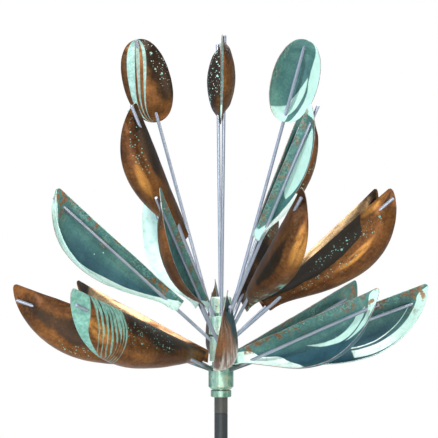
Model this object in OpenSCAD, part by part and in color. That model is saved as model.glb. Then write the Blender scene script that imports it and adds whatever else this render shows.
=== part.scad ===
// Garden wind spinner: four tiers of hammered copper scoops on steel rods.
// Two rotors share one vertical axis. The outer rotor carries the lower, upper and crown
// tiers and turns on a fixed spindle. The middle rotor carries the middle tier, runs on the
// outer rotor's sleeve and turns the other way, because its scoops face the other way.
// Frame: +Z up, -Y is the front, origin on the axis at the open lower end of the mast section.
// Every scoop is laid out along its own rod: X runs out along the rod, Z rises square to it,
// and Y points the way that the outer rotor turns, anticlockwise from above.

/* [Mast] */
// Outer diameter of the mast section
mast_d = 25.4; // [24:0.2:28]
// Diameter of the two sockets at the mast section's ends
mast_bore_d = 22; // [20:0.5:23]
// Bore of the mast section between its sockets
mast_core_d = 19; // [14:0.5:19]
// Height of the collar's underside above the mast's open end
collar_z = 300; // [200:10:600]
// Length of the dark top section that shows below the collar
adapter_h = 31; // [20:1:60]
// Length of the adapter's spigot inside the mast
spigot_h = 50; // [30:1:80]
// Depth of the socket that the next mast section plugs into
socket_h = 60; // [40:1:100]

/* [Collar and hubs] */
// Diameter of the fixed collar
collar_d = 39; // [34:0.5:44]
// Height of the fixed collar
collar_h = 13; // [8:0.5:13]
// Diameter of the lower hub
lower_hub_d = 47.5; // [46:0.5:52]
// Diameter of the middle hub
middle_hub_d = 43; // [42:0.5:48]
// Diameter of the upper hub
upper_hub_d = 46; // [45:0.5:50]
// Diameter of the top cap
cap_d = 39.5; // [34:0.5:42]
// Chamfer along the edges of the turned parts
edge_chamfer = 1.2; // [0.5:0.1:2]

/* [Shaft and bearings] */
// Diameter of the fixed spindle
spindle_d = 10; // [8:0.5:10]
// Outer diameter of the sleeve that links the outer rotor's hubs
sleeve_d = 20; // [18:0.5:20]
// Outer diameter of the two main bearings
main_bearing_d = 22; // [20:0.5:22]
// Height of each main bearing
main_bearing_h = 6; // [5:0.5:7]
// Outer diameter of the two middle bearings
middle_bearing_d = 37; // [34:0.5:37]
// Height of each middle bearing
middle_bearing_h = 9; // [7:0.5:9]
// Gap between a bearing's bore and the shaft that it runs on
running_gap = 0.1; // [0.05:0.05:0.3]

/* [Sheet and rods] */
// Thickness of the hammered copper sheet
sheet_t = 1.2; // [0.8:0.1:2]
// Diameter of the steel rods
rod_d = 6.35; // [5:0.05:7]
// Number of scoops in the lower tier
lower_count = 8; // [4:1:8]
// Number of scoops in the middle tier
middle_count = 8; // [4:1:8]
// Number of scoops in the upper tier
upper_count = 4; // [3:1:4]
// Number of scoops in the crown
crown_count = 4; // [3:1:4]

/* [Lower tier] */
// Rise of the lower rods above level, degrees
lower_rise = 19.9; // [15:0.1:25]
// Distance along the rod to a lower scoop's root
lower_root = 41; // [40:1:60]
// Distance along the rod to a lower scoop's tip
lower_tip = 427; // [350:1:450]
// Greatest width of a lower scoop
lower_w = 95.5; // [80:0.5:110]
// Depth of a lower scoop
lower_depth = 37; // [25:1:42]
// Height of a lower scoop's straight edge above its rod
lower_lift = 28; // [24:1:34]

/* [Middle tier] */
// Rise of the middle rods above level, degrees
middle_rise = 40.1; // [35:0.1:45]
// Distance along the rod to a middle scoop's root
middle_root = 115; // [90:1:140]
// Distance along the rod to a middle scoop's tip
middle_tip = 454; // [400:1:470]
// Greatest width of a middle scoop
middle_w = 87.5; // [70:0.5:100]
// Depth of a middle scoop
middle_depth = 32; // [22:1:36]
// Height of a middle scoop's straight edge above its rod
middle_lift = 20; // [16:1:26]

/* [Upper tier] */
// Rise of the upper rods above level, degrees
upper_rise = 60.4; // [56:0.1:64]
// Distance along the rod to an upper scoop's root
upper_root = 201; // [180:1:240]
// Distance along the rod to an upper scoop's tip
upper_tip = 490; // [460:1:510]
// Greatest width of an upper scoop
upper_w = 77; // [70:0.5:95]
// Depth of an upper scoop
upper_depth = 30; // [22:1:34]
// Height of an upper scoop's straight edge above its rod
upper_lift = 19; // [16:1:24]

/* [Crown] */
// Rise of the crown rods above level, degrees
crown_rise = 74.7; // [72:0.1:78]
// Distance along the rod to a crown oval's lower end
crown_root = 451; // [420:1:480]
// Distance along the rod to a crown oval's upper end
crown_tip = 613; // [580:1:640]
// Width of a crown oval
crown_w = 91; // [70:1:100]
// Depth of a crown oval
crown_depth = 25; // [18:1:30]

/* [Tips and roots] */
// Radius of the rounded corner at a scoop's tip
tip_r = 6; // [4:1:12]
// Width that is left at the root, before its corner is rounded
root_w = 28; // [20:1:32]
// Radius of the rounded corner at the root
root_r = 12; // [4:1:14]

/* [Hidden] */
$fn = 64;
cut = 1;                          // overshoot of a cut past the face that it goes through

// Heights of the stack above the collar's underside
lower_hub_z = collar_h + 1.5;
lower_hub_top = 59;
boss_top = 66;
lip_top = 68.7;
middle_hub_z = 68;
middle_bearing_z = 69;
middle_hub_top = 114.5;
upper_hub_z = 118.5;
upper_hub_top = 154;
neck_top = 159;
cap_top = 190;
sleeve_z = 30;
sleeve_top = 140;
shoulder_top = 16;
nut_z = 153.2;
nut_top = 162.6;
spindle_top = 166;
cap_hollow_top = 171;
seam_chamfer = 0.7;               // at the joint between adapter and mast
spindle_seat = 45;                // depth of the spindle's press seat in the adapter
pocket_floor = 0.5;               // play above a bearing in its pocket, and between a pair

// Radii inside the stack
sleeve_bore_r = spindle_d / 2 + 1;
boss_r = 17;
lip_r = 12.5;
middle_clear_r = sleeve_d / 2 + 1;
shoulder_r = 7;
neck_r = 14;
cap_hollow_r = 10.8;
nut_flat = 17;                    // across the nut's flats
nut_flange_r = 7.4;
nut_flange_h = 1.4;
notch_r = rod_d / 2 + 0.3;        // room for a rod that passes the cap

// Shape of the scoops
rim_gap = 4;                      // how far the rim stands off the rod, on the hollow side
lower_lean = 13;                  // lean of each tier's scoops, hollow side upwards
middle_lean = 11;
upper_lean = 16;
rows = 18;                        // steps from tip to root
cols = 7;                         // steps from edge to edge
blunt = 0.012;                    // share of a scoop's length lost to its rounded ends
tip_flat = 0.02;                  // share of the length left flat at the tip
tip_margin = 0.14;                // share over which the bowl rises from it
root_margin = 0.2;                // and share over which the bowl rises from the root
widest = 0.4;                     // where along its length a leaf is widest
root_power = 10;                  // how near to the root a leaf's added width begins
deepest = 0.6;                    // where across its width a leaf's bowl is deepest
offset_angle = 2.4;               // turn of the outer rotor at rest

// A tier is [rise, axis height, rod start radius, rod end, root, tip, lift, width, depth,
//            lean, direction, first azimuth, azimuth step, outline]
RISE = 0;
AXIS_Z = 1;
SEAT_R = 2;
ROD_END = 3;
ROOT = 4;
TIP = 5;
LIFT = 6;
WIDTH = 7;
DEPTH = 8;
LEAN = 9;
SENSE = 10;
FIRST = 11;
STEP = 12;
OUTLINE = 13;
LOWER = [lower_rise, collar_z + 44.1, 13, lower_tip - 14, lower_root, lower_tip, lower_lift, lower_w,
         lower_depth, lower_lean, 1, offset_angle, 360 / lower_count, "leaf"];
MIDDLE = [middle_rise, collar_z + 90.2, 13, middle_tip - 7, middle_root, middle_tip, middle_lift, middle_w,
          middle_depth, middle_lean, -1, 25, 360 / middle_count, "leaf"];
UPPER = [upper_rise, collar_z + 119.1, 14.2, upper_tip + 4, upper_root, upper_tip, upper_lift, upper_w,
         upper_depth, upper_lean, 1, offset_angle + 45, 360 / upper_count, "leaf"];
CROWN = [crown_rise, collar_z + 87.4, 15.2, crown_tip - 1, crown_root, crown_tip, crown_w / 2, crown_w,
         crown_depth, 0, 1, offset_angle, 360 / crown_count, "oval"];

function names(stem, count) = [for (k = [1:count]) str(stem, "_", k)];

copper = "#8a5127";
verdigris = "#9fc9b4";
steel = "#c3cad0";
mast_paint = "#3a3f42";

// ---- Scoops -------------------------------------------------------------------------------

// Share t runs from the tip (0) to the root (1). Rows crowd towards the blunt ends.
function row_share(tier, i) =
    let (q = blunt + (1 - 2 * blunt) * i / rows)
    tier[OUTLINE] == "oval" ? (1 - cos(180 * q)) / 2 : pow(q, 1.5);

// Columns crowd towards both edges.
function col_share(j) = (1 - cos(180 * j / cols)) / 2;

// A leaf's straight edge ends in a rounded corner at the tip: drop below the edge's line
function corner_drop(tier, t) =
    let (x = min(t * (tier[TIP] - tier[ROOT]), tip_r))
    tip_r - sqrt(tip_r * tip_r - pow(tip_r - x, 2));

// A hump: 0 at 0 and 1, and 1 at its peak. A larger power makes it slimmer.
function hump(x, peak, power) =
    pow(x / peak, power * peak) * pow((1 - x) / (1 - peak), power * (1 - peak));

// A leaf's curved edge, measured below the straight edge's line. It starts at the corner's
// radius, bulges out past a third of the way along and ends in a wider, rounded root.
function root_drop(tier, t) =
    let (x = min((1 - t) * (tier[TIP] - tier[ROOT]), root_r))
    root_w * pow(t, root_power) - root_r + sqrt(root_r * root_r - pow(root_r - x, 2));
function leaf_drop(tier, t) =
    tip_r * pow(1 - t, 2) + (tier[WIDTH] - 0.35 * tip_r) * hump(t, widest, 1.84) + root_drop(tier, t);
function oval_width(tier, t) = tier[WIDTH] * pow(1 - pow(abs(2 * t - 1), 2.2), 1 / 2.2);
function width_at(tier, t) =
    tier[OUTLINE] == "oval" ? oval_width(tier, t) : leaf_drop(tier, t) - corner_drop(tier, t);

// Height above the rod of the edge where the columns start
function edge_at(tier, t) =
    tier[OUTLINE] == "oval" ? oval_width(tier, t) / 2 : tier[LIFT] - corner_drop(tier, t);

// Depth of the bowl. Along the scoop it rises from a flat margin at each end. Across a leaf
// it is deepest past the middle and drops steeply to the curved edge.
function ease(x) = let (c = max(0, min(1, x))) c * c * (3 - 2 * c);
function bowl_along(t) =
    hump(t, 0.5, 1.8) * ease((t - tip_flat) / tip_margin) * ease((1 - t) / root_margin);
function bowl_across(tier, u) =
    tier[OUTLINE] == "oval" ? hump(u, 0.5, 1.6) : hump(u, deepest, 1.25);
function depth_at(tier, t, u) = tier[DEPTH] * bowl_along(t) * bowl_across(tier, u);

// A point of the convex face, in the rod's own frame
function scoop_point(tier, t, u) =
    let (across = u * width_at(tier, t),
         deep = depth_at(tier, t, u),
         lean = tier[LEAN])
    [tier[TIP] - t * (tier[TIP] - tier[ROOT]),
     -rim_gap - sin(lean) * across + cos(lean) * deep,
     edge_at(tier, t) - cos(lean) * across - sin(lean) * deep];

function unit(v) = v / norm(v);

// Outward normal of the grid g at row i and column j
function grid_normal(g, i, j) =
    let (down = g[i][min(j + 1, cols)] - g[i][max(j - 1, 0)],
         along = g[min(i + 1, rows)][j] - g[max(i - 1, 0)][j])
    unit(cross(down, along));

// Two triangles of a quad, seen anticlockwise as a, b, c, d from inside the solid
function quad(a, b, c, d) = [[a, b, c], [a, c, d]];

// The bowl of one scoop: the convex grid, the same grid moved in by the sheet's thickness,
// and a narrow band round the rim that joins them
module bowl(tier) {
    convex = [for (i = [0:rows]) [for (j = [0:cols]) scoop_point(tier, row_share(tier, i), col_share(j))]];
    hollow = [for (i = [0:rows]) [for (j = [0:cols]) convex[i][j] - sheet_t * grid_normal(convex, i, j)]];
    w = cols + 1;
    n = (rows + 1) * w;
    points = concat([for (r = convex) each r], [for (r = hollow) each r]);
    faces = concat(
        [for (i = [0:rows - 1]) for (j = [0:cols - 1])
            each quad(i * w + j, (i + 1) * w + j, (i + 1) * w + j + 1, i * w + j + 1)],
        [for (i = [0:rows - 1]) for (j = [0:cols - 1])
            each quad(n + i * w + j, n + i * w + j + 1, n + (i + 1) * w + j + 1, n + (i + 1) * w + j)],
        [for (i = [0:rows - 1]) each quad(i * w, n + i * w, n + (i + 1) * w, (i + 1) * w)],
        [for (i = [0:rows - 1])
            each quad(i * w + cols, (i + 1) * w + cols, n + (i + 1) * w + cols, n + i * w + cols)],
        [for (j = [0:cols - 1]) each quad(j, j + 1, n + j + 1, n + j)],
        [for (j = [0:cols - 1])
            each quad(rows * w + j, n + rows * w + j, n + rows * w + j + 1, rows * w + j + 1)]);
    polyhedron(points, faces);
}

// Puts a child that lies along X onto rod number k of a tier
module on_rod(tier, k) {
    azimuth = tier[FIRST] + (k - 1) * tier[STEP] - 90;
    translate([0, 0, tier[AXIS_Z]])
        rotate([0, 0, azimuth])
            rotate([0, -tier[RISE], 0])
                children();
}

// A plain bar along X, for rods and for the holes that take them
module bar(from, to, r) {
    translate([from, 0, 0])
        rotate([0, 90, 0])
            cylinder(r = r, h = to - from);
}

module petal(tier, k) {
    color(copper)
        on_rod(tier, k)
            difference() {
                mirror([0, tier[SENSE] < 0 ? 1 : 0, 0])
                    bowl(tier);
                bar(tier[SEAT_R], tier[ROD_END] + cut, rod_d / 2);
            }
}

module rod(tier, k) {
    r = rod_d / 2;
    start = tier[SEAT_R] / cos(tier[RISE]);
    end = tier[ROD_END];
    chamfer = 0.6;
    color(steel)
        on_rod(tier, k)
            rotate([0, 90, 0])
                rotate_extrude()
                    polygon([[0, start], [r, start], [r, end - chamfer], [r - chamfer, end], [0, end]]);
}

// The holes that a tier's rods are seated in
module sockets(tier, count, r = rod_d / 2) {
    for (k = [1:count])
        on_rod(tier, k)
            bar(tier[SEAT_R] / cos(tier[RISE]), tier[ROOT], r);
}

// ---- Turned parts -------------------------------------------------------------------------

// A disc from z0 to z1 above the collar's underside, with a chamfer at each end
module turned(r, z0, z1, low = edge_chamfer, high = edge_chamfer) {
    translate([0, 0, collar_z])
        rotate_extrude()
            polygon([[0, z0], [r - low, z0], [r, z0 + low], [r, z1 - high], [r - high, z1], [0, z1]]);
}

// A plain round cut from z0 to z1 above the collar's underside
module bore(r, z0, z1) {
    translate([0, 0, collar_z + z0])
        cylinder(r = r, h = z1 - z0);
}

module mast_tube() {
    color(mast_paint)
        difference() {
            turned(mast_d / 2, -collar_z, -adapter_h, high = seam_chamfer);
            translate([0, 0, -cut])
                cylinder(d = mast_core_d, h = collar_z - adapter_h + 2 * cut);
            translate([0, 0, -cut])
                cylinder(d = mast_bore_d, h = socket_h + cut);
            bore(mast_bore_d / 2, -adapter_h - spigot_h, -adapter_h + cut);
        }
}

module mast_adapter() {
    color(mast_paint)
        difference() {
            union() {
                turned(mast_d / 2, -adapter_h, collar_h, low = seam_chamfer, high = 0);
                turned(mast_bore_d / 2, -adapter_h - spigot_h, -adapter_h, high = 0);
            }
            bore(spindle_d / 2, -spindle_seat, collar_h + cut);
        }
}

module mast_collar() {
    color(verdigris)
        difference() {
            turned(collar_d / 2, 0, collar_h);
            bore(mast_d / 2, -cut, collar_h + cut);
        }
}

module spindle() {
    color(steel)
        union() {
            bore(spindle_d / 2, -spindle_seat, collar_h);
            bore(shoulder_r, collar_h, shoulder_top);
            turned(spindle_d / 2, shoulder_top, spindle_top, low = 0);
        }
}

module spindle_nut() {
    color(steel)
        difference() {
            union() {
                bore(nut_flange_r, nut_z, nut_z + nut_flange_h);
                translate([0, 0, collar_z + nut_z + nut_flange_h])
                    cylinder(r = nut_flat / sqrt(3), h = nut_top - nut_z - nut_flange_h, $fn = 6);
            }
            bore(spindle_d / 2, nut_z - cut, nut_top + cut);
        }
}

module rotor_sleeve() {
    color(steel)
        difference() {
            bore(sleeve_d / 2, sleeve_z, sleeve_top);
            bore(sleeve_bore_r, sleeve_z - cut, sleeve_top + cut);
        }
}

module lower_hub() {
    bottom_chamfer = 5;
    color(verdigris)
        difference() {
            union() {
                turned(lower_hub_d / 2, lower_hub_z, lower_hub_top, low = bottom_chamfer);
                bore(boss_r, lower_hub_top, boss_top);
                bore(lip_r, boss_top, lip_top);
            }
            bore(main_bearing_d / 2, lower_hub_z - cut, shoulder_top + main_bearing_h + pocket_floor);
            bore(sleeve_bore_r, lower_hub_z, sleeve_z + cut);
            bore(sleeve_d / 2, sleeve_z, lip_top + cut);
            sockets(LOWER, lower_count);
        }
}

module middle_hub() {
    color(verdigris)
        difference() {
            turned(middle_hub_d / 2, middle_hub_z, middle_hub_top);
            bore(middle_bearing_d / 2, middle_hub_z - cut,
                 middle_bearing_z + 2 * middle_bearing_h + pocket_floor);
            bore(middle_clear_r, middle_hub_z, middle_hub_top + cut);
            sockets(MIDDLE, middle_count);
        }
}

module upper_hub() {
    color(verdigris)
        difference() {
            turned(upper_hub_d / 2, upper_hub_z, upper_hub_top);
            bore(sleeve_d / 2, upper_hub_z - cut, sleeve_top);
            bore(sleeve_bore_r, upper_hub_z, upper_hub_top);
            bore(main_bearing_d / 2, upper_hub_top - main_bearing_h - 1, upper_hub_top + cut);
            sockets(UPPER, upper_count);
            sockets(CROWN, crown_count);
        }
}

module top_cap() {
    color(verdigris)
        difference() {
            union() {
                bore(neck_r, upper_hub_top, neck_top);
                turned(cap_d / 2, neck_top, cap_top, high = 2);
            }
            bore(cap_hollow_r, upper_hub_top - cut, cap_hollow_top);
            sockets(UPPER, upper_count, notch_r);
            sockets(CROWN, crown_count, notch_r);
        }
}

// A sealed bearing: two rings with a shallow groove between them over the shields
module bearing(bore_d, outer_d, h, z) {
    groove_depth = 0.4;
    wall = (outer_d - bore_d) / 2;
    translate([0, 0, collar_z + z])
        rotate_extrude()
            translate([bore_d / 2 + running_gap, 0])
                difference() {
                    square([wall - running_gap, h]);
                    translate([wall * 0.3, -cut])
                        square([wall * 0.4, cut + groove_depth]);
                    translate([wall * 0.3, h - groove_depth])
                        square([wall * 0.4, cut + groove_depth]);
                }
}

module main_bearings() {
    color(steel) {
        bearing(spindle_d, main_bearing_d, main_bearing_h, shoulder_top);
        bearing(spindle_d, main_bearing_d, main_bearing_h, upper_hub_top - main_bearing_h - 1);
    }
}

module middle_bearings() {
    color(steel)
        for (i = [0:1])
            bearing(sleeve_d, middle_bearing_d, middle_bearing_h,
                    middle_bearing_z + i * (middle_bearing_h + pocket_floor));
}

mast_tube();
mast_adapter();
mast_collar();
spindle();
spindle_nut();
rotor_sleeve();
lower_hub();
middle_hub();
upper_hub();
top_cap();
main_bearings();
middle_bearings();
for (k = [1:lower_count]) {
    rod(LOWER, k);
    petal(LOWER, k);
}
for (k = [1:middle_count]) {
    rod(MIDDLE, k);
    petal(MIDDLE, k);
}
for (k = [1:upper_count]) {
    rod(UPPER, k);
    petal(UPPER, k);
}
for (k = [1:crown_count]) {
    rod(CROWN, k);
    petal(CROWN, k);
}
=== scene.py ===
"""Looks of the wind spinner: patinated copper scoops on steel rods, bronze hubs, painted mast."""

import math

import bpy
import numpy as np
from mathutils import Matrix, Vector, noise


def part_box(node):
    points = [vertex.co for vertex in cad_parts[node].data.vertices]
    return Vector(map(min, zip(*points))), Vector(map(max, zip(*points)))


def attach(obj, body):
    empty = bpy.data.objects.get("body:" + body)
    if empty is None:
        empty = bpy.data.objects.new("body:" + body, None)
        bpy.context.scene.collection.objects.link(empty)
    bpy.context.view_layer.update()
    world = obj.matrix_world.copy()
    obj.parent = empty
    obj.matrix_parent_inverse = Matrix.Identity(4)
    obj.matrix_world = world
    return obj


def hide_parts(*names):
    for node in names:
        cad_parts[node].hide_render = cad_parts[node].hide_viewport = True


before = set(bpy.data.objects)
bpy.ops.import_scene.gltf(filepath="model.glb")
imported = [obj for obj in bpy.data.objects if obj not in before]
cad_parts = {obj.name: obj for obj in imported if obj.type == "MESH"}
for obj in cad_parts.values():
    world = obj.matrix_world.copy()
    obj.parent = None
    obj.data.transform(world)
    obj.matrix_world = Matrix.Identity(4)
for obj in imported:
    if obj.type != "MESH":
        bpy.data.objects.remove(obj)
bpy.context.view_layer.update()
COLLAR_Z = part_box("mast_collar")[0][2]

# ---- Camera and stage ---------------------------------------------------------------------

VIEW_PX = 438                       # width and height of the picture
SENSOR = 36.0
CAMERA_DISTANCE = 5.89
PX_AT_AXIS = 0.0019                 # metres that one picture element covers at the axis
EYE_ABOVE_COLLAR = 0.374
AXIS_OFFSET_PX = 2                  # the axis stands right of the picture's middle
HORIZON_OFFSET_PX = 19              # eye level stands above the picture's middle


def make_camera():
    data = bpy.data.cameras.new("camera")
    data.sensor_width = SENSOR
    data.lens = SENSOR * CAMERA_DISTANCE / (VIEW_PX * PX_AT_AXIS)
    data.shift_y = -HORIZON_OFFSET_PX / VIEW_PX
    data.clip_end = 100.0
    camera = bpy.data.objects.new("camera", data)
    camera.location = (-AXIS_OFFSET_PX * PX_AT_AXIS, -CAMERA_DISTANCE, COLLAR_Z + EYE_ABOVE_COLLAR)
    camera.rotation_euler = (math.radians(90), 0, 0)
    bpy.context.collection.objects.link(camera)
    bpy.context.scene.camera = camera


def aim(obj, target):
    direction = Vector(target) - obj.location
    obj.rotation_euler = direction.to_track_quat("-Z", "Y").to_euler()


def area_light(name, place, target, size, power, colour):
    data = bpy.data.lights.new(name, "AREA")
    data.shape = "DISK"
    data.size = size
    data.energy = power
    data.color = colour
    light = bpy.data.objects.new(name, data)
    light.location = place
    aim(light, target)
    bpy.context.collection.objects.link(light)


def make_lights():
    middle = (0, 0, COLLAR_Z + 0.3)
    area_light("key", (-1.2, -3.6, 4.2), middle, 0.45, 200, (1.0, 0.965, 0.91))
    area_light("overhead", (-0.9, 0.3, 3.6), middle, 2.6, 95, (1.0, 0.96, 0.92))
    area_light("left_fill", (-3.4, -1.2, 1.6), middle, 2.4, 42, (0.62, 0.78, 1.0))
    area_light("right_fill", (3.2, -1.0, 1.5), middle, 1.4, 34, (1.0, 0.90, 0.76))
    area_light("floor_bounce", (-0.2, -1.7, 0.04), middle, 1.8, 34, (1.0, 0.93, 0.90))
    area_light("back_rim", (1.2, 3.2, 3.4), middle, 1.6, 50, (0.9, 0.95, 1.0))


def make_world():
    """White to the camera, and a dim cool sky to the object."""
    world = bpy.data.worlds.new("studio")
    world.use_nodes = True
    tree = world.node_tree
    tree.nodes.clear()
    output = tree.nodes.new("ShaderNodeOutputWorld")
    sky = tree.nodes.new("ShaderNodeBackground")
    sky.inputs["Color"].default_value = (0.70, 0.84, 1.0, 1.0)
    sky.inputs["Strength"].default_value = 0.42
    backdrop = tree.nodes.new("ShaderNodeBackground")
    backdrop.inputs["Color"].default_value = (1.0, 1.0, 1.0, 1.0)
    backdrop.inputs["Strength"].default_value = 1.0
    seen = tree.nodes.new("ShaderNodeLightPath")
    mix = tree.nodes.new("ShaderNodeMixShader")
    tree.links.new(seen.outputs["Is Camera Ray"], mix.inputs[0])
    tree.links.new(sky.outputs[0], mix.inputs[1])
    tree.links.new(backdrop.outputs[0], mix.inputs[2])
    tree.links.new(mix.outputs[0], output.inputs[0])
    bpy.context.scene.world = world
    bpy.context.scene.view_settings.view_transform = "Standard"


# ---- Materials ----------------------------------------------------------------------------

class Shader:
    """A node material. Each method adds one node and returns its output socket."""

    def __init__(self, name):
        self.material = bpy.data.materials.new(name)
        self.material.use_nodes = True
        self.tree = self.material.node_tree
        self.bsdf = self.tree.nodes["Principled BSDF"]

    def plug(self, socket, value):
        if isinstance(value, bpy.types.NodeSocket):
            self.tree.links.new(value, socket)
        else:
            socket.default_value = value

    def surface(self, **values):
        for name, value in values.items():
            self.plug(self.bsdf.inputs[name.replace("_", " ").title().replace("Ior", "IOR")], value)

    def attribute(self, name):
        node = self.tree.nodes.new("ShaderNodeAttribute")
        node.attribute_name = name
        return node.outputs["Vector"]

    def parts(self, vector):
        node = self.tree.nodes.new("ShaderNodeSeparateXYZ")
        self.plug(node.inputs[0], vector)
        return node.outputs[0], node.outputs[1], node.outputs[2]

    def vector(self, x, y, z):
        node = self.tree.nodes.new("ShaderNodeCombineXYZ")
        for socket, value in zip(node.inputs, (x, y, z)):
            self.plug(socket, value)
        return node.outputs[0]

    def place(self):
        """The point in the object's own space, in metres."""
        return self.tree.nodes.new("ShaderNodeTexCoord").outputs["Object"]

    def math(self, operation, a, b=0.0, c=0.0):
        node = self.tree.nodes.new("ShaderNodeMath")
        node.operation = operation
        for socket, value in zip(node.inputs, (a, b, c)):
            self.plug(socket, value)
        return node.outputs[0]

    def stretch(self, vector, scale):
        node = self.tree.nodes.new("ShaderNodeVectorMath")
        node.operation = "MULTIPLY"
        self.plug(node.inputs[0], vector)
        node.inputs[1].default_value = scale
        return node.outputs[0]

    def noise(self, vector, scale, detail=4.0, roughness=0.55, distortion=0.0):
        node = self.tree.nodes.new("ShaderNodeTexNoise")
        self.plug(node.inputs["Vector"], vector)
        node.inputs["Scale"].default_value = scale
        node.inputs["Detail"].default_value = detail
        node.inputs["Roughness"].default_value = roughness
        node.inputs["Distortion"].default_value = distortion
        return node.outputs["Fac"]

    def cells(self, vector, scale):
        """(distance from the nearest cell's centre in cells, a random number of that cell)"""
        node = self.tree.nodes.new("ShaderNodeTexVoronoi")
        self.plug(node.inputs["Vector"], vector)
        node.inputs["Scale"].default_value = scale
        return node.outputs["Distance"], self.parts(node.outputs["Color"])[0]

    def step(self, value, low, high):
        """0 at low and below, 1 at high and above, smooth between. low may be the larger."""
        node = self.tree.nodes.new("ShaderNodeMapRange")
        node.interpolation_type = "SMOOTHSTEP"
        self.plug(node.inputs["Value"], value)
        flipped = low > high
        node.inputs["From Min"].default_value = min(low, high)
        node.inputs["From Max"].default_value = max(low, high)
        node.inputs["To Min"].default_value = 1.0 if flipped else 0.0
        node.inputs["To Max"].default_value = 0.0 if flipped else 1.0
        return node.outputs["Result"]

    def line(self, value, points):
        """A smooth curve through the points, level beyond its ends. The points run from 0 to 1."""
        node = self.tree.nodes.new("ShaderNodeFloatCurve")
        node.mapping.extend = "HORIZONTAL"
        curve = node.mapping.curves[0]
        while len(curve.points) < len(points):
            curve.points.new(0.5, 0.5)
        for point, place in zip(curve.points, points):
            point.location = place
        node.mapping.update()
        self.plug(node.inputs["Value"], value)
        return node.outputs["Value"]

    def above(self, value, bound, soft=0.010):
        return self.step(self.math("SUBTRACT", value, bound), -soft, soft)

    def below(self, value, bound, soft=0.010):
        return self.step(self.math("SUBTRACT", value, bound), soft, -soft)

    def patch(self, t, u, ragged, spots, outer=1.2, inner=0.5):
        """1 inside soft ellipses, each (share along, share across, half length, half width)."""
        masks = []
        for t0, u0, length, width in spots:
            x = self.math("DIVIDE", self.math("SUBTRACT", t, t0), length)
            y = self.math("DIVIDE", self.math("SUBTRACT", u, u0), width)
            reach = self.math("ADD", self.math("MULTIPLY", x, x), self.math("MULTIPLY", y, y))
            masks.append(self.step(self.math("ADD", reach, self.math("MULTIPLY", ragged, 2.0)), outer, inner))
        return self.any_of(*masks)

    def all_of(self, *masks):
        result = masks[0]
        for mask in masks[1:]:
            result = self.math("MULTIPLY", result, mask)
        return result

    def any_of(self, *masks):
        result = masks[0]
        for mask in masks[1:]:
            result = self.math("MAXIMUM", result, mask)
        return result

    def blend(self, share, a, b):
        node = self.tree.nodes.new("ShaderNodeMix")
        node.data_type = "RGBA"
        self.plug(node.inputs[0], share)
        for socket, value in ((node.inputs[6], a), (node.inputs[7], b)):
            self.plug(socket, (*value, 1.0) if isinstance(value, tuple) else value)
        return node.outputs[2]

    def lerp(self, share, a, b):
        node = self.tree.nodes.new("ShaderNodeMapRange")
        self.plug(node.inputs["Value"], share)
        self.plug(node.inputs["To Min"], a)
        self.plug(node.inputs["To Max"], b)
        return node.outputs["Result"]

    def ramp(self, value, stops):
        node = self.tree.nodes.new("ShaderNodeValToRGB")
        self.plug(node.inputs[0], value)
        elements = node.color_ramp.elements
        while len(elements) < len(stops):
            elements.new(0.5)
        for element, (position, colour) in zip(elements, stops):
            element.position = position
            element.color = (*colour, 1.0)
        return node.outputs[0]

    def bump(self, height, distance, strength=1.0, normal=None):
        node = self.tree.nodes.new("ShaderNodeBump")
        node.inputs["Strength"].default_value = strength
        node.inputs["Distance"].default_value = distance
        self.plug(node.inputs["Height"], height)
        if normal is not None:
            self.plug(node.inputs["Normal"], normal)
        return node.outputs["Normal"]


MINT = (0.10, 0.265, 0.215)
LIGHT_MINT = (0.19, 0.41, 0.34)
PALE_MINT = (0.43, 0.67, 0.60)
WHITE_MINT = (0.80, 0.95, 0.89)
TEAL = (0.026, 0.095, 0.115)
DARK_BROWN = (0.026, 0.019, 0.013)
# Colours of painted highlights on the copper
HIGHLIGHT_GOLD = (0.70, 0.34, 0.075)
PALE_HIGHLIGHT_GOLD = (0.88, 0.62, 0.34)
RUST = (0.175, 0.072, 0.028)
STREAK_GREY = (0.52, 0.48, 0.41)


def flecks(shader, spot, scale, radius, kept):
    """Round flecks: one in some cells of a grid, kept where the cell's random number allows."""
    distance, chance = shader.cells(spot, scale)
    size = shader.math("MULTIPLY", chance, radius)
    inside = shader.math("LESS_THAN", distance, size)
    return shader.all_of(inside, shader.math("GREATER_THAN", chance, kept))


def mint_ribs(s, t, u, spot):
    """A mint cap over the tip, and ribs that fan from the straight edge and meet at the curved."""
    far = s.math("POWER", u, 14.0)
    cap = s.step(s.math("SUBTRACT", s.math("SUBTRACT", t, s.math("MULTIPLY", u, 0.04)),
                        s.math("MULTIPLY", far, 0.17)), 0.120, 0.110)
    late = s.math("MAXIMUM", s.math("SUBTRACT", t, 0.33), 0.0)
    slant = s.math("SUBTRACT", 0.135, s.math("MULTIPLY", late, 1.6))
    lane = s.math("SUBTRACT", s.math("SUBTRACT", t, s.math("MULTIPLY", u, slant)), s.math("MULTIPLY", far, 0.05))
    wobble = s.math("MULTIPLY", s.math("SUBTRACT", s.noise(spot, 15.0, 2.0), 0.5), 0.045)
    lane = s.math("ADD", lane, wobble)
    wave = s.math("SINE", s.math("MULTIPLY_ADD", lane, 196.0, -2.3))
    brush = s.noise(s.vector(s.math("MULTIPLY", lane, 34.0), s.math("MULTIPLY", u, 2.2), 0.0), 1.0, 5.0, 0.7)
    thinner = s.math("MULTIPLY_ADD", s.step(u, 0.05, 0.75), 1.5, -3.2)
    threshold = s.math("MULTIPLY_ADD", brush, 4.6, thinner)
    strength = s.lerp(s.step(u, 0.95, 0.35), 0.62, 0.90)
    rib = s.all_of(s.step(s.math("SUBTRACT", wave, threshold), -0.35, 0.45),
                   s.step(lane, 0.360, 0.340), s.step(lane, 0.105, 0.12), strength)
    wash = s.all_of(s.step(lane, 0.20, 0.24), s.step(lane, 0.33, 0.29), s.step(u, 0.62, 0.15),
                    s.step(brush, 0.36, 0.60))
    return s.any_of(cap, rib, s.math("MULTIPLY", wash, 0.55))


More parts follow.
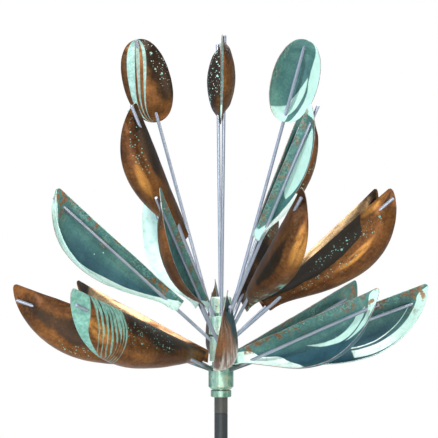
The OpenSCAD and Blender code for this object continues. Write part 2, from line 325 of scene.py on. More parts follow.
def mint_bands(s, t, u, spot):
    """Three bands down one side of an oval, drawn together at the top."""
    drift = s.math("MULTIPLY", s.math("SUBTRACT", s.noise(spot, 14.0, 2.0), 0.5), 0.02)
    down = s.math("SUBTRACT", t, 0.35)
    taper = s.math("SUBTRACT", 1.5, s.math("MULTIPLY", t, 1.4))
    bands = []
    for middle, slant, half, strength in ((0.785, 0.25, 0.084, 1.0), (0.625, 0.38, 0.036, 0.7),
                                          (0.480, 0.50, 0.034, 0.95)):
        centre = s.math("ADD", s.math("MULTIPLY_ADD", down, slant, middle), drift)
        off = s.math("ABSOLUTE", s.math("SUBTRACT", u, centre))
        inside = s.math("SUBTRACT", s.math("MULTIPLY", taper, half), off)
        bands.append(s.math("MULTIPLY", s.step(inside, -0.006, 0.006), strength))
    return s.any_of(*bands)


def copper_material(name, fleck_at=(), dark_at=(), painted_highlight_at=(), pattern=None, streaked=0.0,
                    mint_edge=0.56, polish=0.0, painted_highlight_colour=HIGHLIGHT_GOLD, mint=(MINT, LIGHT_MINT), painted_shadow_line=(), hem=None, dark_tone=DARK_BROWN):
    """The browned convex face, with painted highlights in gold and darker places that are partly painted shade and dark
    reflection, partly darker patina. The places are ellipses (see Shader.patch).

    The shadow line is a line along the scoop, with a painted cast shadow, black, up to it. hem is a colour and a line
    it starts from."""
    s = Shader(name)
    spot = s.attribute("spot")
    t, u, edge = s.parts(s.attribute("leaf"))
    clouds = s.noise(spot, 15.0, 5.0, 0.62)
    grain = s.noise(spot, 190.0, 6.0, 0.68)
    streaks = s.noise(s.stretch(spot, (0.22, 1.0, 1.0)), 80.0, 4.0, 0.6)
    tone = s.math("ADD", s.math("MULTIPLY", clouds, 0.46), s.math("MULTIPLY", grain, 0.36))
    tone = s.math("ADD", tone, s.math("MULTIPLY", streaks, 0.18))
    copper = s.ramp(tone, [(0.34, (0.034, 0.014, 0.007)), (0.46, (0.092, 0.037, 0.012)),
                           (0.56, (0.175, 0.071, 0.019)), (0.70, (0.34, 0.150, 0.038))])
    ragged = s.math("SUBTRACT", clouds, 0.5)
    dull = 0.0
    # Painted highlights: golden patches laid into the copper's colour, grainy and streaky
    if painted_highlight_at:
        painted_highlight_grain = s.math("MULTIPLY", s.lerp(s.noise(spot, 520.0, 3.0, 0.7), -0.2, 1.3), s.step(streaks, 0.28, 0.60))
        copper = s.blend(s.math("MULTIPLY", s.patch(t, u, ragged, painted_highlight_at, 1.5, 0.0), painted_highlight_grain), copper, painted_highlight_colour)
    # Darker places: the listed ones are partly painted shade and dark reflection, partly darker patina
    if dark_at:
        dark = s.patch(t, u, ragged, dark_at)
    else:
        # By default a painted dark reflection: a band along the straight edge, towards the root
        dark = s.all_of(s.step(s.math("ADD", u, ragged), 0.34, 0.10), s.step(t, 0.12, 0.35))
    dark = s.math("MULTIPLY", dark, s.lerp(grain, 1.1, 0.6))
    # Painted cast shadow of another scoop: black from the straight edge up to the shadow line
    if painted_shadow_line:
        ripple = s.math("MULTIPLY_ADD", ragged, 0.10, u)
        black = s.all_of(s.below(ripple, s.line(t, painted_shadow_line), 0.012), s.step(t, painted_shadow_line[0][0], painted_shadow_line[0][0] + 0.01))
        dark = s.any_of(dark, black)
    copper = s.blend(dark, copper, dark_tone)
    if streaked:
        hair = s.noise(s.vector(s.math("MULTIPLY", t, 2.0), s.math("MULTIPLY", u, 11.0), 0.0), 1.6, 5.0, 0.65)
        thick = s.math("ADD", hair, s.math("MULTIPLY", s.step(t, 0.15, 0.6), 0.16))
        dull = s.all_of(s.step(thick, 0.46, 0.70), s.lerp(s.step(t, 0.24, 0.38), 0.25, streaked),
                        s.math("SUBTRACT", 1.0, dark))
        copper = s.blend(dull, copper, STREAK_GREY)
    if fleck_at:
        cluster = s.patch(t, u, ragged, fleck_at)
    else:
        cluster = s.step(s.noise(spot, 9.0, 2.0), 0.54, 0.62)
    small = flecks(s, spot, 240.0, 0.33, 0.36)
    large = flecks(s, spot, 95.0, 0.24, 0.60)
    worn = s.noise(spot, 55.0, 5.0, 0.7)
    rim = s.all_of(s.step(edge, 0.005, 0.001), s.step(worn, mint_edge, mint_edge + 0.06), s.step(u, 0.5, 0.8),
                   s.step(t, 0.42, 0.62))
    patina = s.any_of(s.all_of(s.any_of(small, large), cluster), rim)
    if pattern is not None:
        patina = s.any_of(patina, pattern(s, t, u, spot))
    mint_tone = s.blend(s.step(s.noise(spot, 110.0, 5.0, 0.7), 0.38, 0.64), *mint)
    if hem is not None:
        hem_colour, hem_start = hem
        hemmed = s.above(s.math("MULTIPLY_ADD", ragged, 0.05, u), s.line(t, hem_start))
        mint_tone = s.blend(hemmed, mint_tone, hem_colour)
        patina = s.any_of(patina, hemmed)
    height = s.math("ADD", s.math("MULTIPLY", grain, 0.35), s.math("MULTIPLY", patina, 0.5))
    s.surface(base_color=s.blend(patina, copper, mint_tone),
              metallic=s.math("MULTIPLY", s.lerp(patina, 0.80, 0.0), s.lerp(dull, 1.0, 0.35)),
              roughness=s.lerp(patina, s.lerp(grain, 0.32 - polish, 0.58 - polish), 0.78),
              normal=s.bump(height, 0.0006, 0.5))
    return s.material


# Patterns on the hollow faces, 1 where pale patina and painted sunlight lie
def plain_margin(s, t, u):
    """Pale patina and painted sunlight along the curved edge, widening to the root, and a little at the tip."""
    inner = s.line(t, ((0.0, 0.55), (0.06, 0.97), (0.35, 0.93), (0.60, 0.88), (0.82, 0.72), (0.95, 0.20)))
    return s.above(u, inner)


def long_margin(s, t, u):
    """Pale patina and painted sunlight along the curved edge, widening from a hem to a third of the width at the root.
    """
    inner = s.line(t, ((0.0, 0.70), (0.07, 0.79), (0.14, 0.88), (0.22, 0.93), (0.42, 0.84), (0.55, 0.77),
                       (0.72, 0.76), (0.82, 0.71), (0.88, 0.60), (0.95, 0.25)))
    return s.above(u, inner)


def sickle(s, t, u):
    """A sickle of pale patina and painted sunlight past the middle, a strip from the tip beside it, and a pale root."""
    upper = s.line(t, ((0.12, 0.30), (0.18, 0.29), (0.24, 0.37), (0.34, 0.44), (0.46, 0.44), (0.57, 0.39)))
    lower = s.line(t, ((0.12, 0.33), (0.17, 0.45), (0.25, 0.54), (0.33, 0.565), (0.42, 0.535), (0.50, 0.48),
                       (0.57, 0.388)))
    blade = s.all_of(s.above(u, upper), s.below(u, lower), s.step(t, 0.115, 0.125), s.step(t, 0.575, 0.565))
    strip_in = s.line(t, ((0.0, 0.0), (0.06, 0.12), (0.10, 0.46), (0.18, 0.51), (0.24, 0.57), (0.32, 0.60)))
    strip_out = s.line(t, ((0.0, 1.0), (0.06, 0.86), (0.16, 0.66), (0.22, 0.64), (0.28, 0.62), (0.32, 0.595)))
    strip = s.all_of(s.above(u, strip_in), s.below(u, strip_out), s.step(t, 0.325, 0.315))
    root = s.line(t, ((0.56, 1.0), (0.61, 0.86), (0.66, 0.80), (0.71, 0.70), (0.76, 0.58), (0.84, 0.58),
                      (0.88, 0.30), (0.94, 0.18)))
    heel = s.all_of(s.above(u, root), s.step(t, 0.56, 0.60), s.step(t, 0.965, 0.95))
    return s.any_of(blade, strip, heel)


def broad_margin(s, t, u):
    """A broad margin from the tip that ends squarely before mid length, and a thin line beside it."""
    middle = s.line(t, ((0.09, 0.36), (0.12, 0.44), (0.15, 0.52), (0.21, 0.62), (0.29, 0.68), (0.37, 0.70),
                        (0.45, 0.665)))
    off = s.math("ABSOLUTE", s.math("SUBTRACT", u, middle))
    line = s.all_of(s.step(off, 0.016, 0.008), s.step(t, 0.10, 0.11), s.step(t, 0.46, 0.45))
    inner = s.line(t, ((0.0, 0.5), (0.04, 0.30), (0.08, 0.50), (0.11, 0.62), (0.19, 0.73), (0.28, 0.76),
                       (0.37, 0.76), (0.46, 0.715)))
    outer = s.line(t, ((0.18, 1.0), (0.24, 0.97), (0.34, 0.945), (0.40, 0.93), (0.46, 0.89)))
    hemmed = s.any_of(s.below(u, outer), s.step(t, 0.20, 0.18))
    broad = s.all_of(s.above(u, inner), hemmed, s.step(t, 0.462, 0.454))
    return s.any_of(line, broad)


def oval_margin(s, t, u):
    """Pale patina and painted sunlight down one side and round the lower end of an oval, with a sickle inside it."""
    side = s.above(u, s.line(t, ((0.0, 0.97), (0.11, 0.90), (0.27, 0.82), (0.42, 0.80), (0.63, 0.84), (0.92, 0.80))))
    left = s.line(t, ((0.42, 0.77), (0.58, 0.67), (0.75, 0.54), (0.92, 0.50)))
    right = s.line(t, ((0.42, 0.77), (0.54, 0.79), (0.69, 0.77), (0.85, 0.70), (0.92, 0.58)))
    blade = s.all_of(s.above(u, left), s.below(u, right), s.step(t, 0.42, 0.43))
    foot = s.all_of(s.above(t, s.line(u, ((0.0, 0.87), (0.30, 0.84), (0.50, 0.80)))), s.step(u, 0.56, 0.50))
    return s.any_of(side, blade, foot)


def long_sickle(s, t, u):
    """A broad sickle of pale patina and painted sunlight from near the tip to two thirds down, with pale ends."""
    left = s.line(t, ((0.13, 0.42), (0.17, 0.33), (0.22, 0.26), (0.31, 0.20), (0.44, 0.15), (0.56, 0.15),
                      (0.62, 0.21), (0.66, 0.34)))
    right = s.line(t, ((0.13, 0.43), (0.19, 0.46), (0.29, 0.47), (0.44, 0.48), (0.57, 0.44), (0.66, 0.345)))
    blade = s.all_of(s.above(u, left), s.below(u, right), s.step(t, 0.125, 0.135), s.step(t, 0.665, 0.655))
    heel = s.above(u, s.line(t, ((0.55, 1.0), (0.585, 0.60), (0.69, 0.49), (0.83, 0.47), (0.90, 0.36), (0.95, 0.1))))
    ends = s.any_of(s.step(t, 0.07, 0.06), s.step(t, 0.91, 0.93), s.all_of(heel, s.step(t, 0.55, 0.57)))
    return s.any_of(blade, ends)


def mostly_chalk_and_sunlight(s, t, u):
    """Pale patina and painted sunlight all over but for a strip along the straight edge."""
    return s.above(u, s.line(t, ((0.0, 0.0), (0.30, 0.10), (0.90, 0.05))))


def verdigris_and_painted_light_material(name, chalk_and_sunlight_pattern, rusty, painted_shade_blueness, white):
    """The hollow face: mottled teal, painted shade in blue towards the curved edge, pale patina and painted sunlight,
    and rusty places.

    white is a line along the scoop: how white the pale patina and painted sunlight are, from mint at 0."""
    s = Shader(name)
    spot = s.attribute("spot")
    t, u, edge = s.parts(s.attribute("leaf"))
    clouds = s.noise(spot, 18.0, 6.0, 0.65)
    grain = s.noise(spot, 230.0, 5.0, 0.7)
    tone = s.math("ADD", s.math("MULTIPLY", clouds, 0.62), s.math("MULTIPLY", grain, 0.38))
    teal = s.ramp(tone, [(0.34, (0.022, 0.088, 0.088)), (0.50, (0.050, 0.156, 0.144)),
                         (0.66, (0.112, 0.270, 0.222))])
    blue = s.ramp(tone, [(0.36, (0.008, 0.044, 0.068)), (0.64, (0.026, 0.100, 0.132))])
    ragged = s.math("SUBTRACT", clouds, 0.5)
    # Painted shade: bluer deep in the bowl, towards the curved edge and away from both ends
    deep = s.all_of(s.step(s.math("ADD", u, s.math("MULTIPLY", ragged, 0.2)), 0.26, 0.60),
                    s.step(t, 0.10, 0.32), s.step(t, 0.97, 0.84))
    ground = s.blend(s.math("MULTIPLY", deep, painted_shade_blueness), teal, blue)
    worn = s.math("MULTIPLY", ragged, 0.035)
    # Pale patina and painted sunlight in the scoop's own pattern, with a thin pale line by the curved edge and pale
    # dots
    chalk_and_sunlight = chalk_and_sunlight_pattern(s, s.math("ADD", t, worn), s.math("ADD", u, worn))
    thin = s.all_of(s.step(edge, 0.0022, 0.0012), s.step(u, 0.6, 0.8))
    dots = flecks(s, spot, 75.0, 0.09, 0.80)
    chalk_and_sunlight = s.any_of(chalk_and_sunlight, s.math("MULTIPLY", thin, 0.8), dots)
    pitted = s.step(s.noise(spot, 60.0, 6.0, 0.75), 0.46, 0.72)
    chalk_and_sunlight_tone = s.blend(pitted, s.blend(s.line(t, white), PALE_MINT, WHITE_MINT), (0.36, 0.60, 0.53))
    coloured = s.blend(chalk_and_sunlight, ground, chalk_and_sunlight_tone)
    bleached = s.all_of(s.step(s.math("ADD", u, ragged), 0.10, 0.02), s.step(grain, 0.42, 0.58))
    coloured = s.blend(s.math("MULTIPLY", bleached, 0.5), coloured, LIGHT_MINT)
    blots = s.noise(spot, 44.0, 6.0, 0.72, 0.6)
    stain_and_painted_shade = s.all_of(s.step(s.math("ADD", u, s.math("MULTIPLY", ragged, 0.5)), 0.19, 0.05), s.step(blots, 0.50, 0.58))
    rusting = 0.60 - 0.12 * rusty
    corner = s.all_of(s.step(t, 0.10 + 0.08 * rusty, 0.04), s.step(s.noise(spot, 75.0, 3.0, 0.6), rusting, rusting + 0.07),
                      s.step(u, 0.98, 0.60))
    root = s.all_of(s.step(t, 0.72, 0.86), s.step(blots, 0.53, 0.59), s.step(u, 0.55, 0.3))
    stain_and_painted_shade = s.math("MULTIPLY", s.any_of(stain_and_painted_shade, corner, root), rusty)
    rust = s.blend(s.step(grain, 0.44, 0.60), RUST, (0.30, 0.14, 0.04))
    height = s.math("ADD", grain, s.math("MULTIPLY", clouds, 0.6))
    s.surface(base_color=s.blend(stain_and_painted_shade, coloured, rust),
              metallic=s.lerp(stain_and_painted_shade, 0.04, 0.35),
              roughness=s.lerp(grain, 0.45, 0.72),
              specular_ior_level=0.40,
              normal=s.bump(height, 0.0005, 0.45))
    return s.material


def rim_material(name, dull, bright):
    """The cut edge of the sheet, rubbed bare in places."""
    s = Shader(name)
    spot = s.attribute("spot")
    worn = s.noise(spot, 60.0, 5.0, 0.7)
    s.surface(base_color=s.ramp(worn, [(0.35, dull), (0.55, bright), (0.68, LIGHT_MINT)]),
              metallic=s.math("MULTIPLY", s.step(worn, 0.60, 0.50), 0.4),
              roughness=s.lerp(worn, 0.35, 0.6))
    return s.material


def rod_material():
    """Drawn steel, with painted shade, green-black, where the rods meet the hub under the lowest tier."""
    s = Shader("drawn_steel")
    place = s.place()
    x, y, z = s.parts(place)
    grain = s.noise(place, 900.0, 3.0, 0.6)
    smear = s.noise(place, 26.0, 4.0, 0.6)
    out = s.math("SQRT", s.math("ADD", s.math("MULTIPLY", x, x), s.math("MULTIPLY", y, y)))
    steel = s.blend(s.step(smear, 0.50, 0.72), (0.31, 0.35, 0.42), (0.25, 0.29, 0.35))
    ragged = s.math("MULTIPLY_ADD", smear, 0.03, out)
    # Painted shade: green-black on the rods close to the axis, low down by the lowest hub
    stain_and_painted_shade = s.all_of(s.step(ragged, 0.085, 0.060), s.step(z, COLLAR_Z + 0.085, COLLAR_Z + 0.075))
    s.surface(base_color=s.blend(stain_and_painted_shade, steel, (0.055, 0.085, 0.080)),
              metallic=s.lerp(stain_and_painted_shade, 0.65, 0.3),
              roughness=s.lerp(s.math("MULTIPLY", grain, smear), 0.24, 0.50),
              normal=s.bump(grain, 0.00012, 0.25))
    return s.material


def hub_material(name, paleness):
    """Turned bronze under pale verdigris, with ochre specks and downward runs."""
    s = Shader(name)
    place = s.place()
    clouds = s.noise(place, 38.0, 6.0, 0.65)
    runs = s.noise(s.stretch(place, (1.0, 1.0, 0.10)), 110.0, 4.0, 0.6)
    grain = s.noise(place, 420.0, 4.0, 0.65)
    tone = s.math("ADD", s.math("MULTIPLY", clouds, 0.45), s.math("MULTIPLY_ADD", runs, 0.55, paleness))
    green = s.ramp(tone, [(0.36, (0.055, 0.15, 0.115)), (0.46, (0.16, 0.31, 0.235)),
                          (0.56, (0.32, 0.50, 0.40)), (0.68, (0.60, 0.78, 0.68))])
    speck = s.all_of(s.step(s.noise(place, 240.0, 3.0, 0.6), 0.56, 0.64), s.step(clouds, 0.44, 0.56))
    rubbed = s.all_of(s.step(s.noise(place, 85.0, 5.0, 0.7), 0.60, 0.68), s.step(runs, 0.45, 0.60))
    s.surface(base_color=s.blend(rubbed, s.blend(speck, green, (0.55, 0.38, 0.12)), (0.17, 0.075, 0.03)),
              metallic=s.lerp(rubbed, 0.45, 0.8),
              roughness=s.lerp(grain, 0.20, 0.46),
              normal=s.bump(s.math("ADD", grain, clouds), 0.0005, 0.5))
    return s.material


def paint_material(name, colour, lighter):
    """Satin paint with dust in its pores and faint scuffs along the mast."""
    s = Shader(name)
    place = s.place()
    clouds = s.noise(place, 30.0, 5.0, 0.6)
    pores = s.noise(place, 700.0, 3.0, 0.6)
    scuff = s.step(s.noise(s.stretch(place, (1.0, 1.0, 0.08)), 420.0, 4.0, 0.7), 0.62, 0.72)
    s.surface(base_color=s.blend(s.any_of(s.math("MULTIPLY", clouds, 0.6), scuff), colour, lighter),
              metallic=0.0,
              specular_ior_level=0.28,
              roughness=s.lerp(s.math("ADD", clouds, s.math("MULTIPLY", scuff, 0.3)), 0.24, 0.46),
              normal=s.bump(pores, 0.0003, 0.4))
    return s.material


def steel_material(name, colour, smooth):
    """Turned steel: fine rings round the spin axis."""
    s = Shader(name)
    place = s.place()
    rings = s.noise(s.stretch(place, (0.15, 0.15, 1.0)), 1500.0, 3.0, 0.6)
    oil = s.noise(place, 55.0, 4.0, 0.6)
    s.surface(base_color=s.blend(oil, colour, tuple(c * 0.7 for c in colour)),
              metallic=1.0,
              roughness=s.lerp(rings, smooth, smooth + 0.2),
              normal=s.bump(rings, 0.0001, 0.4))
    return s.material


def floor_material():
    s = Shader("pale_floor")
    place = s.place()
    clouds = s.noise(place, 1.2, 4.0, 0.5)
    s.surface(base_color=s.blend(clouds, (0.74, 0.74, 0.73), (0.79, 0.79, 0.78)),
              roughness=s.lerp(clouds, 0.6, 0.8))
    return s.material


# ---- Scoops -------------------------------------------------------------------------------

SHEET = 0.0012
RIM_GAP = 0.004
TIP_R = 0.006
BLUNT = 0.012
TIP_FLAT = 0.02
TIP_MARGIN = 0.14
ROOT_MARGIN = 0.2
WIDEST = 0.4                        # where along its length a leaf is widest
DEEPEST = 0.6                       # where across its width a leaf's bowl is deepest
ROOT_WIDTH = 0.028                  # how far a leaf's curved edge stands off the straight one at the root
ROOT_POWER = 10                     # how late along the leaf that begins to show
ROOT_R = 0.012                      # corner there
ROWS = 92
COLS = 36

TIERS = {
    "lower": dict(rise=19.9, axis=0.0441, root=0.041, tip=0.427, lift=0.028, width=0.0955, depth=0.037,
                  lean=13, sense=1, first=2.4, step=45, count=8, body="outer_rotor", oval=False),
    "middle": dict(rise=40.1, axis=0.0902, root=0.115, tip=0.454, lift=0.020, width=0.0875, depth=0.032,
                   lean=11, sense=-1, first=25, step=45, count=8, body="middle_rotor", oval=False),
    "upper": dict(rise=60.4, axis=0.1191, root=0.201, tip=0.490, lift=0.019, width=0.077, depth=0.030,
                  lean=16, sense=1, first=47.4, step=90, count=4, body="outer_rotor", oval=False),
    "crown": dict(rise=74.7, axis=0.0874, root=0.451, tip=0.613, lift=0.0, width=0.091, depth=0.025,
                  lean=0, sense=1, first=2.4, step=90, count=4, body="outer_rotor", oval=True),
}

# The finish of each scoop's two faces; a scoop not named here has the plain ones
OUTSIDES = {
    "plain": dict(),
    "russet": dict(fleck_at=((0.10, 0.5, 0.12, 0.5),), dark_at=((0.25, 0.3, 0.25, 0.2),), mint_edge=0.9),
    "streaked": dict(streaked=0.95, fleck_at=((1.0, 0.5, 0.02, 0.1),), dark_at=((0.20, 0.15, 0.22, 0.62),),
                     dark_tone=TEAL, mint_edge=0.9),
    "ribbed": dict(pattern=mint_ribs, fleck_at=((0.50, 0.26, 0.22, 0.30),), dark_at=((0.62, 0.08, 0.40, 0.34),),
                   painted_highlight_at=((0.21, 0.62, 0.09, 0.19),), mint_edge=0.9),
    "dotted": dict(fleck_at=((0.40, 0.78, 0.16, 0.12),), dark_at=((0.60, 0.0, 0.25, 0.20), (0.45, 0.45, 0.40, 0.22)),
                   mint_edge=0.9),
    "banded": dict(pattern=mint_bands, fleck_at=((0.32, 0.16, 0.36, 0.20),), dark_at=((0.32, 0.12, 0.58, 0.38),),
                   mint_edge=0.9, mint=((0.21, 0.38, 0.33), (0.36, 0.55, 0.50))),
    "speckled": dict(fleck_at=((0.26, 0.62, 0.20, 0.20),), dark_at=((0.20, 0.26, 0.34, 0.26),),
                     painted_highlight_at=((0.46, 0.78, 0.13, 0.12),), mint_edge=0.9),
    "sprinkled": dict(fleck_at=((0.45, 0.5, 0.40, 0.9),), dark_at=((0.45, 0.5, 0.5, 0.9),), mint_edge=0.9,
                      mint=((0.30, 0.52, 0.46), (0.52, 0.74, 0.68))),
    # Painted highlight: a golden glint near the curved edge, towards the tip
    "painted_edge_glint": dict(fleck_at=((0.8, 0.85, 0.15, 0.12),), dark_at=((0.44, 0.60, 0.24, 0.15), (0.6, 0.05, 0.4, 0.15)),
                   painted_highlight_at=((0.25, 0.93, 0.12, 0.12),), mint_edge=0.50),
    # middle_2: a painted cast shadow along the straight edge, and painted highlights
    "cast_shadow": dict(fleck_at=((0.20, 0.42, 0.12, 0.16), (0.58, 0.60, 0.24, 0.13), (0.45, 0.25, 0.20, 0.12)),
                     dark_at=((0.06, 0.36, 0.05, 0.10),), painted_highlight_at=((0.14, 0.06, 0.09, 0.14), (0.38, 0.62, 0.14, 0.08)),
                     painted_shadow_line=((0.225, 0.02), (0.25, 0.14), (0.285, 0.37), (0.40, 0.42), (0.53, 0.46),
                             (0.66, 0.46), (0.84, 0.43), (0.93, 0.15)), mint_edge=0.62),
    # Smoother copper with a broad pale gold painted highlight along the straight edge
    "polished_with_painted_highlight": dict(fleck_at=((0.5, 0.8, 0.2, 0.1),), dark_at=((0.04, 0.2, 0.07, 0.4),),
                     painted_highlight_at=((0.42, 0.0, 0.40, 0.40),), polish=0.14, painted_highlight_colour=PALE_HIGHLIGHT_GOLD),
    "chalk_hem": dict(hem=(PALE_MINT, ((0.0, 0.80), (0.5, 0.70), (1.0, 0.60))), mint_edge=0.9),
    "teal_hem": dict(hem=(TEAL, ((0.0, 0.88), (0.5, 0.80), (1.0, 0.80))), mint_edge=0.9),
    "chalk_heel": dict(hem=(WHITE_MINT, ((0.0, 1.1), (0.52, 1.02), (0.60, 0.66), (0.80, 0.45), (1.0, 0.3))),
                       mint_edge=0.9),
}
# Hollow finishes, each (pattern of pale patina and painted sunlight, rust, blueness of the painted shade, whiteness
# along the scoop)
INSIDES = {
    "plain": (plain_margin, 0.7, 0.5, ((0.0, 0.1), (0.3, 0.3), (1.0, 0.3))),
    "sickle": (sickle, 0.9, 1.0, ((0.0, 0.0), (0.54, 0.20), (0.62, 0.95), (0.86, 0.95), (0.93, 0.05))),
    "broad": (broad_margin, 0.9, 1.0, ((0.0, 0.0), (0.10, 0.10), (0.22, 0.35), (0.30, 1.0), (1.0, 1.0))),
    "long": (long_margin, 1.0, 0.9, ((0.0, 0.0), (0.3, 0.35), (1.0, 0.30))),
    "oval": (oval_margin, 0.2, 0.5, ((0.0, 0.0), (1.0, 0.0))),
    "long_sickle": (long_sickle, 0.6, 0.7, ((0.0, 0.0), (1.0, 0.0))),
    "sunlit_chalky": (mostly_chalk_and_sunlight, 0.2, 0.0, ((0.0, 0.4), (1.0, 0.5))),
}
OUTSIDE_OF = {"lower_1": "streaked", "lower_2": "teal_hem", "lower_3": "teal_hem", "lower_5": "painted_edge_glint",
              "lower_6": "polished_with_painted_highlight", "lower_7": "dotted", "lower_8": "ribbed", "lower_4": "ribbed",
              "middle_1": "painted_edge_glint", "middle_2": "cast_shadow", "middle_3": "polished_with_painted_highlight", "middle_6": "speckled",
              "middle_7": "chalk_hem", "middle_8": "russet", "upper_1": "chalk_heel", "upper_2": "dotted",
              "upper_4": "speckled", "crown_1": "russet", "crown_2": "banded", "crown_3": "sprinkled",
              "crown_4": "banded"}
INSIDE_OF = {"lower_2": "sickle", "lower_3": "broad", "lower_6": "sickle", "lower_7": "broad",
             "middle_5": "sunlit_chalky", "middle_6": "long", "middle_7": "long", "middle_3": "long",
             "upper_1": "long_sickle", "upper_3": "long_sickle", "crown_1": "oval", "crown_2": "oval",
             "crown_3": "oval", "crown_4": "oval"}
CHALKED_RIMS = {"lower_3", "middle_5", "middle_7"}


def ease(x):
    x = np.clip(x, 0.0, 1.0)
    return x * x * (3 - 2 * x)


def hump(x, peak, power):
    """0 at 0 and 1, and 1 at its peak. A larger power makes it slimmer."""
    return (x / peak) ** (power * peak) * ((1 - x) / (1 - peak)) ** (power * (1 - peak))


def outline(tier, t):
    """(width, height above the rod of the first edge) of the outline at share t from the tip."""
    if tier["oval"]:
        width = tier["width"] * (1 - np.abs(2 * t - 1) ** 2.2) ** (1 / 2.2)
        return width, width / 2
    x = np.minimum(t * (tier["tip"] - tier["root"]), TIP_R)
    corner = TIP_R - np.sqrt(TIP_R ** 2 - (TIP_R - x) ** 2)
    from_root = np.minimum((1 - t) * (tier["tip"] - tier["root"]), ROOT_R)
    heel = ROOT_R - np.sqrt(ROOT_R ** 2 - (ROOT_R - from_root) ** 2)
    full = (tier["width"] - 0.35 * TIP_R) * hump(t, WIDEST, 1.84) + ROOT_WIDTH * t ** ROOT_POWER - heel
    return TIP_R * (1 - t) ** 2 + full - corner, tier["lift"] - corner


def bowl_depth(tier, t, u):
    """Depth of the bowl at share t along and share u across."""
    along = hump(t, 0.5, 1.8) * ease((t - TIP_FLAT) / TIP_MARGIN) * ease((1 - t) / ROOT_MARGIN)
    across = hump(u, 0.5, 1.6) if tier["oval"] else hump(u, DEEPEST, 1.25)
    return tier["depth"] * along * across


def scoop_grid(tier):
    """(t, u, points of the convex face in the rod's own frame), rows by columns."""
    q = BLUNT + (1 - 2 * BLUNT) * np.arange(ROWS + 1) / ROWS
    share = (1 - np.cos(np.pi * q)) / 2 if tier["oval"] else q ** 1.5
    t, u = np.meshgrid(share, (1 - np.cos(np.pi * np.arange(COLS + 1) / COLS)) / 2, indexing="ij")
    width, top = outline(tier, t)
    lean = math.radians(tier["lean"])
    across = u * width
    deep = bowl_depth(tier, t, u)
    points = np.stack([tier["tip"] - t * (tier["tip"] - tier["root"]),
                       -RIM_GAP - math.sin(lean) * across + math.cos(lean) * deep,
                       top - math.cos(lean) * across - math.sin(lean) * deep], axis=-1)
    return t, u, points


def grid_normals(points):
    """Unit normals of a grid, out of the convex face."""
    along = np.gradient(points, axis=0)
    down = np.gradient(points, axis=1)
    normal = np.cross(down, along)
    return normal / np.linalg.norm(normal, axis=-1, keepdims=True)


def hammer(points, normals, seed):
    """Moves the sheet in and out a little: broad waves and small dents, as beaten copper has."""
    offset = Vector((seed * 3.7, seed * 1.3, seed * 2.1))
    height = np.empty(points.shape[:2])
    for index in np.ndindex(height.shape):
        p = Vector(points[index])
        broad = noise.noise(p * 16 + offset)
        dents = noise.noise(p * 62 + offset)
        height[index] = 0.0011 * broad + 0.00028 * dents
    return points + normals * height[..., None]


def rod_matrix(tier, k):
    azimuth = math.radians(tier["first"] + (k - 1) * tier["step"] - 90)
    turn = Matrix.Rotation(azimuth, 4, "Z") @ Matrix.Rotation(-math.radians(tier["rise"]), 4, "Y")
    flip = Matrix.Diagonal((1, tier["sense"], 1, 1))
    return Matrix.Translation((0, 0, COLLAR_Z + tier["axis"])) @ turn @ flip


def make_scoop(name, tier, k, materials):
    seed = tier["first"] + k * 1.618
    t, u, flat = scoop_grid(tier)
    convex = hammer(flat, grid_normals(flat), seed)
    normals = grid_normals(convex)
    hollow = convex - SHEET * normals
    rows, cols = convex.shape[:2]

    # Vertices: the convex grid, the hollow grid, and a loop of the rim's middle
    ring = ([(0, j) for j in range(cols)] + [(i, cols - 1) for i in range(1, rows)]
            + [(rows - 1, j) for j in range(cols - 2, -1, -1)] + [(i, 0) for i in range(rows - 2, 0, -1)])
    middle = []
    for i, j in ring:
        point = (convex[i, j] + hollow[i, j]) / 2
        out = point - (convex[i, min(max(j, 2), cols - 3)] if 0 < i < rows - 1 else convex[min(max(i, 2), rows - 3), j])
        out = out / max(np.linalg.norm(out), 1e-9)
        middle.append(point + out * SHEET * 0.35)
    count = rows * cols
    vertices = np.concatenate([convex.reshape(-1, 3), hollow.reshape(-1, 3), np.array(middle)])

    faces = []
    slots = []
    for i in range(rows - 1):
        for j in range(cols - 1):
            a = i * cols + j
            faces.append((a, a + cols, a + cols + 1, a + 1))
            slots.append(0)
            faces.append((count + a, count + a + 1, count + a + cols + 1, count + a + cols))
            slots.append(1)
    size = len(ring)
    for n in range(size):
        (i0, j0), (i1, j1) = ring[n], ring[(n + 1) % size]
        a, b = i0 * cols + j0, i1 * cols + j1
        m0, m1 = 2 * count + n, 2 * count + (n + 1) % size
        faces.append((a, b, m1, m0))
        faces.append((m0, m1, count + b, count + a))
        slots += [2, 2]
    matrix = rod_matrix(tier, k)
    if matrix.determinant() < 0:
        faces = [face[::-1] for face in faces]

    mesh = bpy.data.meshes.new(name)
    mesh.from_pydata([tuple(matrix @ Vector(v)) for v in vertices], [], faces)
    for material in materials:
        mesh.materials.append(material)
    mesh.polygons.foreach_set("material_index", slots)
    mesh.polygons.foreach_set("use_smooth", [True] * len(faces))

    width, _ = outline(tier, t)
    length = tier["tip"] - tier["root"]
    edge = np.minimum(np.minimum(u, 1 - u) * width, np.minimum(t, 1 - t) * length)
    ring_index = [i * cols + j for i, j in ring]

    def spread(values):
        """A value for each vertex from one for each grid point."""
        flat_values = values.reshape(count, -1)
        return np.concatenate([flat_values, flat_values, flat_values[ring_index]])

    columns = {
        "spot": vertices + np.array([seed, seed * 0.37, seed * 0.71]),
        "leaf": spread(np.stack([t, u, edge], axis=-1)),
    }
    for key, values in columns.items():
        layer = mesh.attributes.new(key, "FLOAT_VECTOR", "POINT")
        layer.data.foreach_set("vector", np.asarray(values, dtype=np.float32).ravel())
    mesh.update()
    piece = bpy.data.objects.new(name, mesh)
    bpy.context.collection.objects.link(piece)
    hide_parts(name.replace("scoop", "petal"))
    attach(piece, tier["body"])


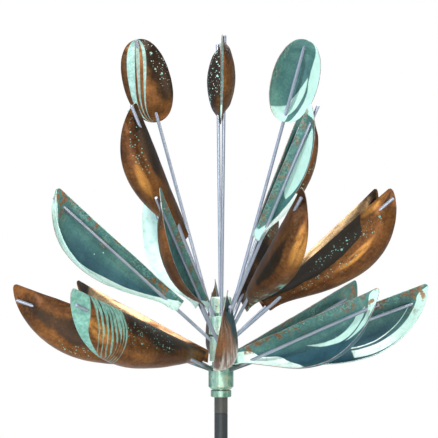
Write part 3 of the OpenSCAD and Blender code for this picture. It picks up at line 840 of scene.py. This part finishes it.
def make_scoops():
    outsides = {name: copper_material("copper_" + name, **finish) for name, finish in OUTSIDES.items()}
    insides = {name: verdigris_and_painted_light_material("verdigris_" + name, *finish) for name, finish in INSIDES.items()}
    bare_rim = rim_material("cut_copper_edge", (0.16, 0.12, 0.10), (0.36, 0.30, 0.28))
    chalked_rim = rim_material("chalked_edge", (0.30, 0.46, 0.42), (0.58, 0.80, 0.72))
    for stem, tier in TIERS.items():
        for k in range(1, tier["count"] + 1):
            outside = outsides[OUTSIDE_OF.get(f"{stem}_{k}", "plain")]
            inside = insides[INSIDE_OF.get(f"{stem}_{k}", "plain")]
            rim = chalked_rim if f"{stem}_{k}" in CHALKED_RIMS else bare_rim
            make_scoop(f"{stem}_scoop_{k}", tier, k, [outside, inside, rim])


# ---- Carried-over CAD nodes ---------------------------------------------------------------

def paint_nodes():
    rod = rod_material()
    hub = hub_material("verdigris_bronze", -0.02)
    pale_hub = hub_material("pale_verdigris_bronze", 0.09)
    shaft = steel_material("ground_shaft", (0.62, 0.63, 0.65), 0.18)
    bearing = steel_material("bearing_steel", (0.74, 0.75, 0.77), 0.10)
    finishes = {
        "mast_tube": paint_material("mast_paint", (0.016, 0.021, 0.023), (0.044, 0.052, 0.056)),
        "mast_adapter": paint_material("adapter_paint", (0.038, 0.040, 0.034), (0.10, 0.105, 0.09)),
        "mast_collar": hub, "lower_hub": hub, "middle_hub": pale_hub, "upper_hub": pale_hub, "top_cap": pale_hub,
        "spindle": shaft, "spindle_nut": shaft, "rotor_sleeve": shaft,
        "main_bearings": bearing, "middle_bearings": bearing,
    }
    for name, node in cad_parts.items():
        finish = finishes.get(name, rod if "_rod_" in name else None)
        if finish is not None:
            node.data.materials.clear()
            node.data.materials.append(finish)


def make_floor():
    """A pale round floor, level with the mast's open end."""
    steps = 96
    radius = 2.6
    mesh = bpy.data.meshes.new("floor")
    ring = [(radius * math.cos(2 * math.pi * i / steps), radius * math.sin(2 * math.pi * i / steps), -0.001)
            for i in range(steps)]
    mesh.from_pydata(ring, [], [tuple(range(steps))])
    mesh.materials.append(floor_material())
    floor = bpy.data.objects.new("floor", mesh)
    bpy.context.collection.objects.link(floor)


make_camera()
make_world()
make_lights()
make_floor()
make_scoops()
paint_nodes()
